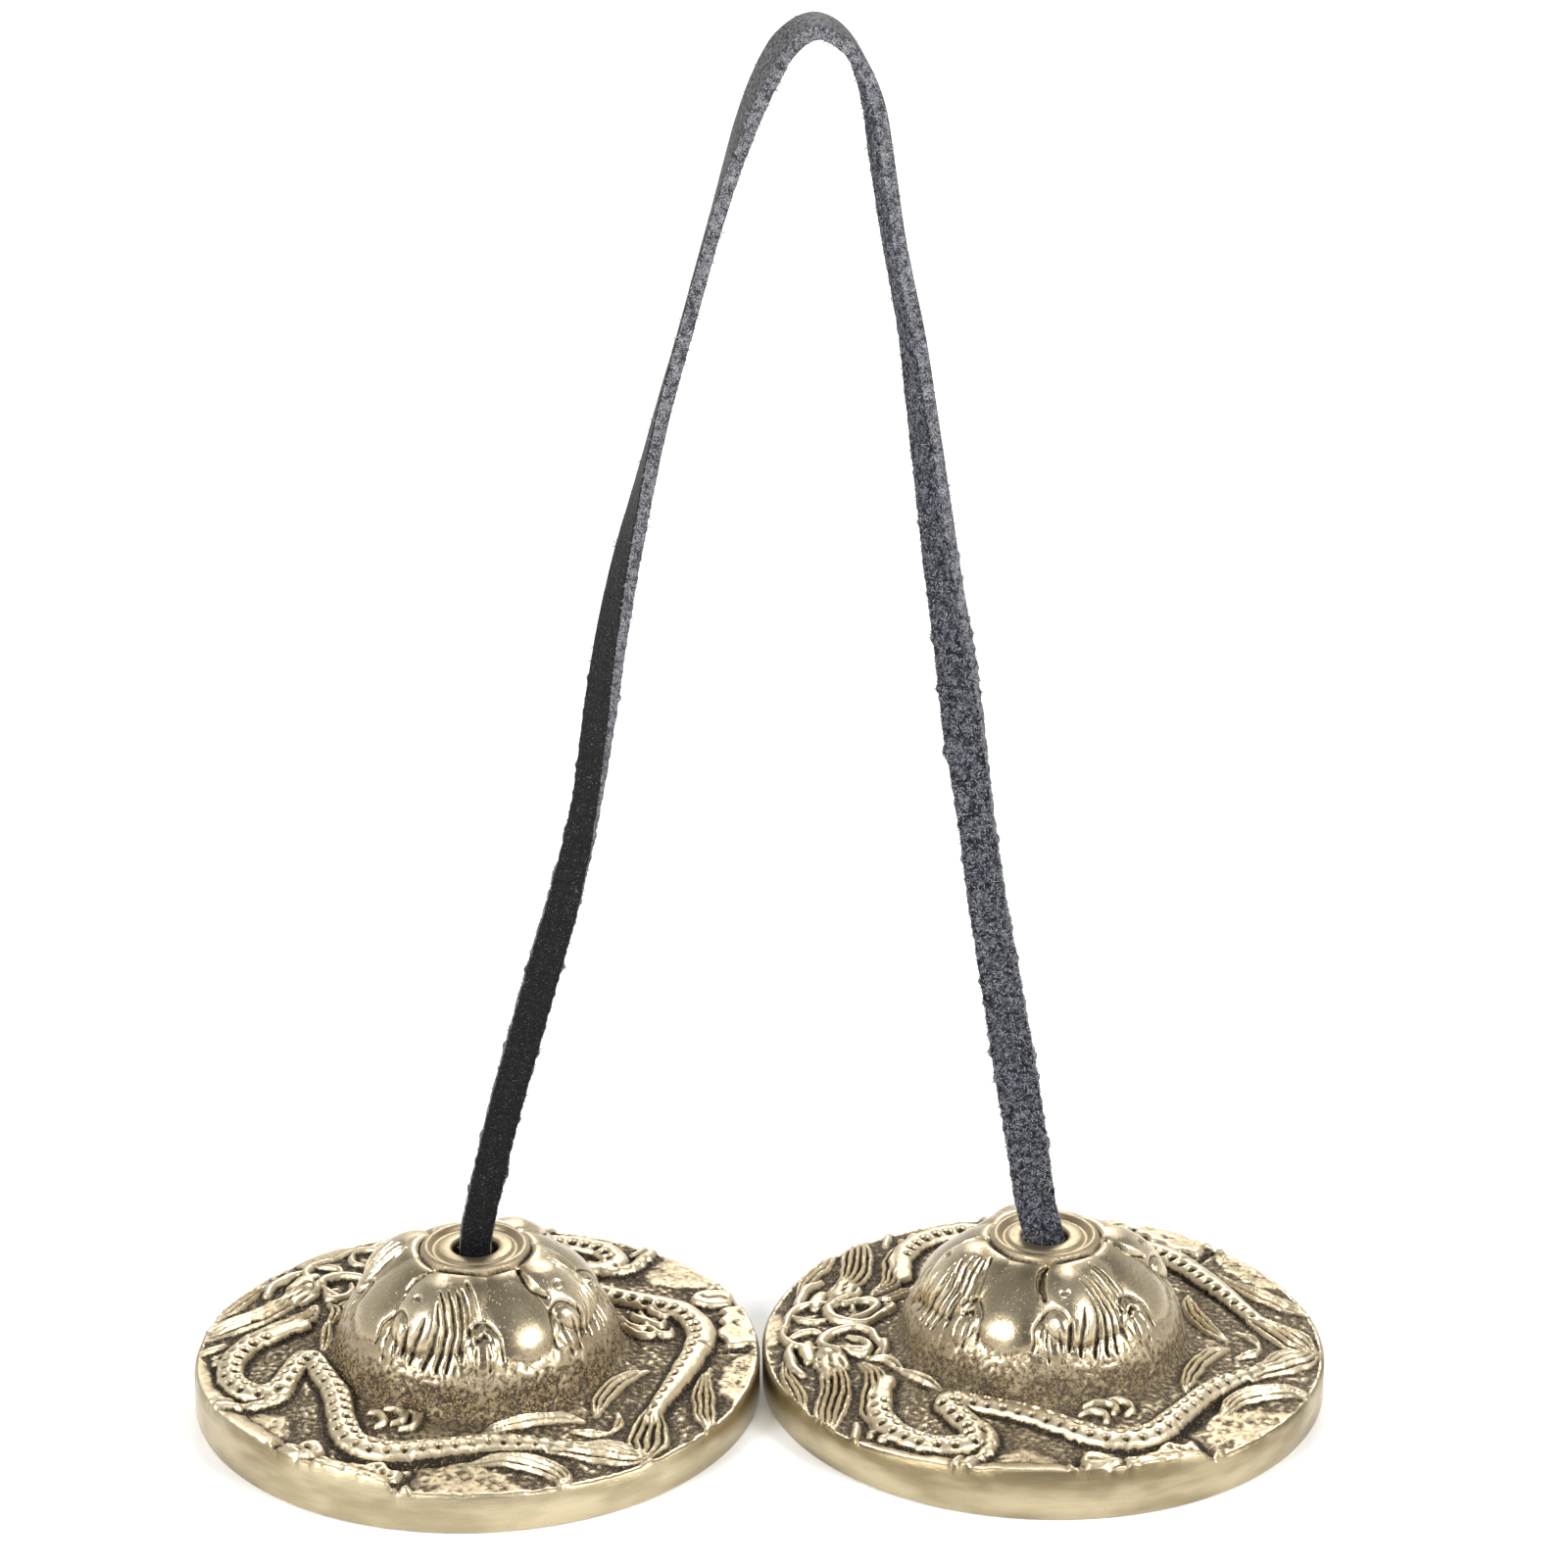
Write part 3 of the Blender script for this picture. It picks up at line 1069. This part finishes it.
skirt = np.clip((carved_radius - SKIRT_START) / SKIRT_FADE, 0, 1)
calmer = np.where(carved_radius < SKIRT_END, 0.55, 1.0)
carving.height += (0.12 * coarse + 0.10 * broad) * on_ground * skirt * calmer
carving.height += (0.025 + 0.045 * skirt) * coarse + (0.03 + 0.07 * skirt) * broad
carving.height = np.where(carving.height > 0, carving.height * HEIGHT_SHARE, carving.height)
near_rim = np.clip((carved_radius - RIM + 1.2) / 0.6, 0, 1)
kept_low = np.clip(carving.height, RIM_DIP, RIM_LIFT)
carving.height += (kept_low - carving.height) * near_rim
carving.height *= np.clip((carved_radius - COLLAR_RADIUS) / 0.45, 0, 1)

mesh = casting.data
ends = np.empty(len(mesh.edges) * 2, np.int32)
mesh.edges.foreach_get("vertices", ends)
ends = ends.reshape(-1, 2)
valence = np.bincount(ends.ravel(), minlength=len(places))
whole = np.zeros(len(places))
whole[carved] = carving.height


def softened(values, rounds, strength=1.0):
    """Values averaged with their neighbours along the mesh's edges, a few times."""
    for _ in range(rounds):
        total = np.bincount(ends[:, 0], values[ends[:, 1]], len(values))
        total += np.bincount(ends[:, 1], values[ends[:, 0]], len(values))
        values = values + strength * (total / valence - values)
    return values


whole = softened(whole, 1, 0.6)
whole[~on_top_side] = 0
close_by = softened(whole, CLOSE_ROUNDS)
around = softened(close_by, WIDE_ROUNDS)
hollowness = close_by - whole
sunkenness = around - whole
turned_side = ((radius_of > RIM - RIM_CHAMFER - 0.02) & (places[:, 2] > 0.05)).astype(float)
on_burr = on_top_side & (radius_of > RIM - BURR)
hollowness[on_burr] = BURR_HOLLOWNESS
sunkenness[on_burr] = BURR_SUNKENNESS
raise_way = normals.copy()
raise_way[radius_of > DOME_RADIUS + 1.5] = (0, 0, 1)
mesh.vertices.foreach_set("co", ((places + raise_way * whole[:, None]) * MM).ravel())
measures = {"hollowness": hollowness, "sunkenness": sunkenness, "relief": whole, "turned": turned_side}
for name, values in measures.items():
    attribute = mesh.attributes.new(name, "FLOAT", "POINT")
    attribute.data.foreach_set("value", values.astype(np.float32))
mesh.update()

TRIANGLES = 190_000
pick_only(casting)
full = sum(len(p.vertices) - 2 for p in mesh.polygons)
thin = casting.modifiers.new("thinned", "DECIMATE")
thin.ratio = TRIANGLES / full
bpy.ops.object.modifier_apply(modifier="thinned")
print(f"casting: {full} triangles carved, {len(casting.data.polygons)} kept, "
      f"measures {[name for name in measures if name in casting.data.attributes]}")


def place_casting(name, x, turn_degrees, dome_degrees=0.0):
    """A copy of the casting with its own mesh, turned and moved into its place."""
    pick_only(casting)
    bpy.ops.object.duplicate()
    obj = bpy.context.object
    obj.name = obj.data.name = name
    for vertex in obj.data.vertices:
        x_flat, y_flat, height = vertex.co
        share = 1 - eased((hypot(x_flat, y_flat) / MM - DOME_RADIUS + 1.0) / 3.0)
        angle = radians(dome_degrees) * share
        vertex.co = (x_flat * cos(angle) - y_flat * sin(angle),
                     x_flat * sin(angle) + y_flat * cos(angle), height)
    obj.rotation_euler = (0, 0, radians(turn_degrees))
    obj.location = (x * MM, 0, left_low.z)
    bpy.ops.object.transform_apply(location=True, rotation=True, scale=True)
    bpy.ops.object.shade_smooth_by_angle(angle=radians(55))
    return obj


left_cymbal = place_casting("left_casting", LEFT_X, 127, 5)
right_cymbal = place_casting("right_casting", RIGHT_X, 172)
bpy.data.objects.remove(casting)

# %% [markdown]
# ## Shader maths
# A small class lets a material be written as sums.  An expression on single values adds its
# Math nodes; colours are mixed by one helper, and any other node is made by one method.

# %% Shader helpers
class Value:
    """A value socket that takes part in Python expressions."""

    def __init__(self, shader, socket):
        self.shader = shader
        self.socket = socket

    def math(self, operation, *others, swap=False, clamp=False):
        parts = [self, *others][::-1] if swap else [self, *others]
        inputs = dict(enumerate(parts))
        settings = {"operation": operation, "use_clamp": clamp}
        return self.shader.node("ShaderNodeMath", settings, inputs)

    def __add__(self, other):
        return self.math("ADD", other)

    def __sub__(self, other):
        return self.math("SUBTRACT", other)

    def __mul__(self, other):
        return self.math("MULTIPLY", other)

    def __rsub__(self, other):
        return self.math("SUBTRACT", other, swap=True)

    __radd__ = __add__
    __rmul__ = __mul__

    def size(self):
        return self.math("ABSOLUTE")

    def clamped(self):
        return self.math("ADD", 0.0, clamp=True)

    def ramp(self, low, high):
        """0 below low, 1 above high, and smooth between them."""
        inputs = {"Value": self, "From Min": low, "From Max": high}
        settings = {"interpolation_type": "SMOOTHSTEP"}
        return self.shader.node("ShaderNodeMapRange", settings, inputs)


class Shader:
    """The node tree of a material or a world, with the shader at its end."""

    def __init__(self, owner, end="BSDF_PRINCIPLED"):
        owner.use_nodes = True
        self.owner = owner
        self.tree = owner.node_tree
        self.surface = next(n for n in self.tree.nodes if n.type == end)

    def node(self, kind, settings=None, inputs=None, output=0):
        made = self.tree.nodes.new(kind)
        for name, value in (settings or {}).items():
            setattr(made, name, value)
        for name, value in (inputs or {}).items():
            self.feed(made.inputs[name], value)
        return Value(self, made.outputs[output])

    def feed(self, socket, value):
        if isinstance(value, Value):
            self.tree.links.new(value.socket, socket)
        else:
            socket.default_value = value

    def set(self, **inputs):
        for name, value in inputs.items():
            self.feed(self.surface.inputs[name.replace("_", " ")], value)

    def attribute(self, name):
        return self.node("ShaderNodeAttribute", {"attribute_name": name}, output="Fac")

    def object_place(self, stretch=(1.0, 1.0, 1.0)):
        """Object coordinates in millimetres, stretched by a Mapping node."""
        place = self.node("ShaderNodeTexCoord", output="Object")
        scale = tuple(1000 * s for s in stretch)
        return self.node("ShaderNodeMapping", inputs={"Vector": place, "Scale": scale})

    def noise(self, place, size, detail=3.0, roughness=0.6):
        inputs = {"Vector": place, "Scale": 1 / size, "Detail": detail, "Roughness": roughness}
        return self.node("ShaderNodeTexNoise", inputs=inputs)

    def cells(self, place, size):
        inputs = {"Vector": place, "Scale": 1 / size}
        return self.node("ShaderNodeTexVoronoi", {"feature": "F1"}, inputs, "Distance")

    def height(self, place):
        return self.node("ShaderNodeSeparateXYZ", inputs={"Vector": place}, output="Z")

    def mix(self, share, first, second):
        """Between two colours, by a share from 0 to 1."""
        made = self.tree.nodes.new("ShaderNodeMix")
        made.data_type = "RGBA"
        self.feed(made.inputs[0], share)
        for socket, colour in ((made.inputs[6], first), (made.inputs[7], second)):
            self.feed(socket, colour if isinstance(colour, Value) else (*colour, 1.0))
        return Value(self, made.outputs[2])

    def bump(self, height, distance, strength=1.0, normal=None):
        inputs = {"Height": height, "Distance": distance * MM, "Strength": strength}
        if normal is not None:
            inputs["Normal"] = normal
        return self.node("ShaderNodeBump", inputs=inputs)


# %% [markdown]
# ## Bronze
# The castings were darkened and then polished by hand, so crests and lobes are bare pale
# bronze while the ground and the hollows keep a brown patina with a few golden grains.
# The rim's side was turned and then rubbed along, so it has fine lines and small pits.
# The hollowness stored on the vertices decides where the patina stays.  The two castings
# differ in how golden the dome's foot is, how light the patina, and how pale the side.

# %% Bronze material
DULL_BRONZE, BRIGHT_BRONZE = (0.43, 0.353, 0.228), (0.74, 0.635, 0.445)
TURNED_DARK, TURNED_PALE = (0.27, 0.215, 0.12), (0.66, 0.57, 0.38)
DEEP_PATINA, GOLDEN_GRAIN, PIT_DARK = (0.020, 0.015, 0.011), (0.62, 0.43, 0.16), (0.10, 0.075, 0.05)
GRIT, FINE_GRAIN, GOLD_GRAINS, CASTING_PITS, BLOTCHES = 0.26, 0.15, 0.25, 0.55, 3.2
# patterns stretched along the turned side: fine lines, scratches and worn patches
LATHE_LINES, SCRATCHES, WORN_PATCHES = (0.35, 0.35, 9.0), (0.30, 0.30, 12.0), (0.10, 0.10, 0.3)
BUMP_HEIGHT, LINE_HEIGHT = 0.16, 0.05


def bronze(name, gold, stain_light, side_tone):
    shader = Shader(bpy.data.materials.new(name))
    place = shader.object_place()
    hollow_here = shader.attribute("hollowness")
    sunken_here = shader.attribute("sunkenness")
    relief_here = shader.attribute("relief")
    grit = shader.noise(place, GRIT, 4.0, 0.72)
    blotch = shader.noise(place, BLOTCHES)
    fine = shader.noise(place, FINE_GRAIN)
    height_here = shader.height(place)
    above_side = height_here.ramp(RIM_HEIGHT - 0.55, RIM_HEIGHT - 0.25)
    side_band = 1 - above_side * (1 - shader.attribute("turned"))
    on_dome = height_here.ramp(DOME_FOOT + 2.2, DOME_FOOT + 5.5)
    on_collar = height_here.ramp(COLLAR_TOP - 1.1, COLLAR_TOP - 0.7)
    # where the patina stays: hollows, ground lower than the relief round it, and the dome's foot
    ground = (1 - relief_here.ramp(0.0, 0.22)) * (1 - on_dome) * 0.68
    depth = (hollow_here * 6.5 + sunken_here * 0.75 + ground + (grit - 0.5) * (2.7 - on_dome * 1.6)
             + (blotch - 0.5) * 0.7)
    patina = (depth.ramp(0.10, 0.90) * (1 - side_band)).clamped()
    deepest = (hollow_here * 3.0 + sunken_here * 1.0 + (grit - 0.5) * 3.4).ramp(0.10, 0.85)
    crest = ((0 - hollow_here) * 3.0 + relief_here * 0.25 + (grit - 0.5) * 0.8).ramp(0.0, 0.7)
    bare = shader.mix(crest, DULL_BRONZE, BRIGHT_BRONZE)
    stained = shader.mix(patina, bare, shader.mix(deepest, stain_light, DEEP_PATINA))
    golden = shader.noise(place, GOLD_GRAINS, 2.0, 0.5).ramp(0.56, 0.66)
    above_foot = height_here.ramp(DOME_FOOT + 2.0, DOME_FOOT + 4.5)
    foot = height_here.ramp(DOME_FOOT - 0.3, DOME_FOOT + 0.4) * (1 - above_foot)
    speckled = shader.mix(golden * (0.35 + foot * gold) * patina, stained, GOLDEN_GRAIN)
    lathe = shader.noise(shader.object_place(LATHE_LINES), 1.0, 3.0, 0.7)
    worn = shader.noise(shader.object_place(WORN_PATCHES), 1.0, 2.0, 0.5)
    upper_side = height_here.ramp(1.2, RIM_HEIGHT - 0.2)
    tone = lathe * 0.5 + worn.ramp(0.35, 0.65) * 0.55 - upper_side * 0.45 + side_tone
    turned_side = shader.mix(tone.clamped(), TURNED_DARK, TURNED_PALE)
    colour = shader.mix(side_band, speckled, turned_side)
    pits_here = (1 - shader.cells(place, CASTING_PITS).ramp(0.08, 0.20)) * (1 - side_band * 0.75)
    marked = shader.mix(pits_here * 0.7 * (1 - patina), colour, PIT_DARK)
    streaks = shader.noise(shader.object_place(SCRATCHES), 1.0, 4.0, 0.7)
    lines = shader.bump(streaks * side_band, LINE_HEIGHT, 0.6)
    rough = 0.05 + patina + (1 - on_dome) * 0.22
    grain = shader.bump(grit * rough + fine * 0.15 - pits_here * 0.35, BUMP_HEIGHT, 0.7, lines)
    shader.set(Base_Color=marked, Metallic=1.0 - patina * 0.5, Normal=grain,
               Roughness=(0.27 + (1 - on_dome) * (1 - side_band) * 0.15 + patina * 0.30
                          + side_band * 0.05 + on_collar * 0.18))
    return shader.owner


left_cymbal.data.materials.append(bronze("left_bronze", 0.9, (0.078, 0.058, 0.037), 0.30))
right_cymbal.data.materials.append(bronze("right_bronze", 0.35, (0.125, 0.096, 0.064), 0.10))

# %% [markdown]
# ## Leather
# The side stored on the points tells the material where it is: the grain side is dyed black
# with a fine pebble and a soft sheen, the cut edges are pale grey fibres, and the flesh
# side is a blue-grey suede with lighter fibres.  Over the crown the grain side is rubbed grey.

# %% Leather material
RUBBED_GREY = (0.17, 0.17, 0.175)
CUT_DARK, CUT_PALE = (0.030, 0.031, 0.036), (0.36, 0.36, 0.385)
SUEDE_DARK, SUEDE_PALE = (0.009, 0.010, 0.014), (0.17, 0.175, 0.20)
HAIR_DARK, HAIR_PALE = (0.14, 0.145, 0.16), (0.46, 0.47, 0.50)
CROWN_LOW, CROWN_HIGH = 118.0, 160.0
EDGE_ROUGHNESS, LEATHER_SHINE = 0.95, 0.12


def leather(name, grain_black, grain_roughness):
    shader = Shader(bpy.data.materials.new(name))
    place = shader.object_place()
    side = shader.attribute("side")
    on_edge = side.ramp(0.3, 0.7)
    on_flesh = side.ramp(1.35, 1.65)
    on_fibre = side.ramp(2.4, 2.6)
    pebble = shader.cells(place, 0.36)
    fine = shader.noise(place, 0.15, 4.0, 0.65)
    mottle = shader.noise(place, 0.8, 4.0, 0.7)
    specks = shader.noise(place, 0.16, 2.0, 0.5).ramp(0.64, 0.70)
    pebbled = shader.noise(place, 0.34, 3.0, 0.75)
    crown = shader.height(place).ramp(CROWN_LOW, CROWN_HIGH)
    rubbed = specks * 0.8 + (mottle - 0.45) * 0.2 + crown * (0.05 + pebbled.ramp(0.38, 0.60) * 0.75)
    worn = shader.mix(rubbed.clamped(), grain_black, RUBBED_GREY)
    cut = shader.mix((mottle * 0.4 + fine * 0.6).ramp(0.44, 0.62), CUT_DARK, CUT_PALE)
    suede = shader.mix((mottle * 0.45 + fine * 0.6).ramp(0.49, 0.63), SUEDE_DARK, SUEDE_PALE)
    hair = shader.mix(fine.ramp(0.4, 0.65), HAIR_DARK, HAIR_PALE)
    colour = shader.mix(on_edge, worn, cut)
    colour = shader.mix(on_flesh, colour, suede)
    colour = shader.mix(on_fibre, colour, hair)
    height = pebble * (1 - on_edge) * 0.6 + fine * (0.3 + on_edge * 0.9)
    roughness = grain_roughness + on_edge * (EDGE_ROUGHNESS - grain_roughness)
    shader.set(Base_Color=colour, Roughness=roughness, Specular_IOR_Level=LEATHER_SHINE,
               Normal=shader.bump(height, 0.15, 0.9))
    return shader.owner


left_leather = leather("left_leg_leather", (0.006, 0.006, 0.006), 0.46)
right_leather = leather("right_leg_leather", (0.022, 0.022, 0.024), 0.55)
pieces = [obj for obj, _ in lace.values()] + [left_knot, right_knot]
leathers = [left_leather, left_leather, right_leather, right_leather,
            leather("left_knot_leather", (0.030, 0.030, 0.032), 0.55),
            leather("right_knot_leather", (0.045, 0.045, 0.050), 0.65)]
for obj, material in zip(pieces, leathers):
    obj.data.materials.append(material)
    pick_only(obj)
    bpy.ops.object.shade_smooth_by_angle(angle=radians(60))

# %% [markdown]
# ## Floor, lamps and surroundings
# A plain pale floor runs far past the view.  The studio around it is white near the horizon,
# dimmer overhead and dark in front, so that bronze has something to mirror.  Two soft lamps
# in front give the highlights on the lobes, and one behind lights the floor.

# %% Floor
FLOOR_SIZE = 8.0
FLOOR_GAP = 0.02 * MM
LAMP_TARGET = Vector((0, 0, 0.05))
bpy.ops.object.select_all(action="DESELECT")
bpy.ops.mesh.primitive_plane_add(size=FLOOR_SIZE, location=(0, 0, packed_low.z - FLOOR_GAP))
floor = bpy.context.object
floor.name = "floor"
floor_shader = Shader(bpy.data.materials.new("floor_white"))
floor_shader.set(Base_Color=(0.86, 0.86, 0.86, 1.0), Roughness=0.9,
                 Emission_Color=(1.0, 1.0, 1.0, 1.0), Emission_Strength=0.12)
floor.data.materials.append(floor_shader.owner)


def soft_lamp(name, place, size, watts):
    data = bpy.data.lights.new(name, "AREA")
    data.shape = "DISK"
    data.size = size
    data.energy = watts
    lamp = bpy.data.objects.new(name, data)
    lamp.location = place
    lamp.rotation_euler = (LAMP_TARGET - Vector(place)).to_track_quat("-Z", "Y").to_euler()
    bpy.context.scene.collection.objects.link(lamp)


soft_lamp("left_lamp", (-0.72, -0.60, 0.62), 0.40, 9.5)
soft_lamp("right_lamp", (0.72, -0.55, 0.66), 0.40, 9.0)
soft_lamp("back_lamp", (0.1, 0.9, 0.9), 0.6, 8.0)

studio = Shader(bpy.data.worlds.new("studio"), "BACKGROUND")
bpy.context.scene.world = studio.owner
way = studio.node("ShaderNodeTexCoord", output="Generated")
sideways, onwards, upwards = (
    studio.node("ShaderNodeSeparateXYZ", inputs={"Vector": way}, output=axis) for axis in "XYZ")
dark_front = (0 - onwards).ramp(0.25, 0.80) * (1 - sideways.size().ramp(0.22, 0.50))
strength = (0.78 - upwards.ramp(0.35, 0.75) * 0.44) * (1.0 - dark_front * 0.80)
studio.set(Color=(1.0, 1.0, 1.0, 1.0), Strength=strength)
bpy.context.scene.view_settings.view_transform = "Standard"

# %% [markdown]
# ## Riding on the joints
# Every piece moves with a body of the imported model.  The lace bends across the crown's two
# bends and across the hinges at the holes; the knots and the castings ride whole.

# %% Bodies, cords and the two size boxes
for obj, body, node, slot in ((left_cymbal, "left_disc", "left_cymbal", "left_bronze"),
                              (right_cymbal, "right_disc", "right_cymbal", "right_bronze"),
                              (left_knot, "left_end", "left_knot", "left_knot_leather"),
                              (right_knot, "right_end", "right_knot", "right_knot_leather")):
    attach(obj, body)
    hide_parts(node)


ABOVE_HINGE, BELOW_HINGE = 2.6, 1.4
BEND_ON_CROWN, BEND_ON_LEG = 6, 12


def bend_span(*runs):
    return [tuple(np.interp(run, arch_run, arch[:, k]) * MM for k in range(3)) for run in runs]


def hinge_span(x):
    return [(x * MM, 0, (hinge_height + rise) * MM) for rise in (ABOVE_HINGE, -BELOW_HINGE)]


left_span = bend_span(LEFT_SWING_RUN - BEND_ON_LEG, LEFT_SWING_RUN + BEND_ON_CROWN)
right_span = bend_span(RIGHT_SWING_RUN - BEND_ON_CROWN, RIGHT_SWING_RUN + BEND_ON_LEG)
# each stretch's two bodies, where it bends between them, its nodes and its slot
rides = {
    "lace_left_foot": ("left_leg", "left_end", hinge_span(LEFT_X),
                       ["strap_left_leg"], "left_leg_leather"),
    "lace_left_bend": ("left_leg", "crown", left_span,
                       ["strap_left_leg", "strap_crown"], "left_leg_leather"),
    "lace_right_bend": ("crown", "right_leg", right_span,
                        ["strap_crown", "strap_right_leg"], "right_leg_leather"),
    "lace_right_foot": ("right_leg", "right_end", hinge_span(RIGHT_X),
                        ["strap_right_leg"], "right_leg_leather"),
}
for name, (body_a, body_b, (start, end), nodes, slot) in rides.items():
    obj, line = lace[name]
    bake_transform(obj)
    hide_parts(*nodes)
    path = (line * MM).tolist()

print("packed box", [round(v, 5) for v in (*packed_low, *packed_high)])
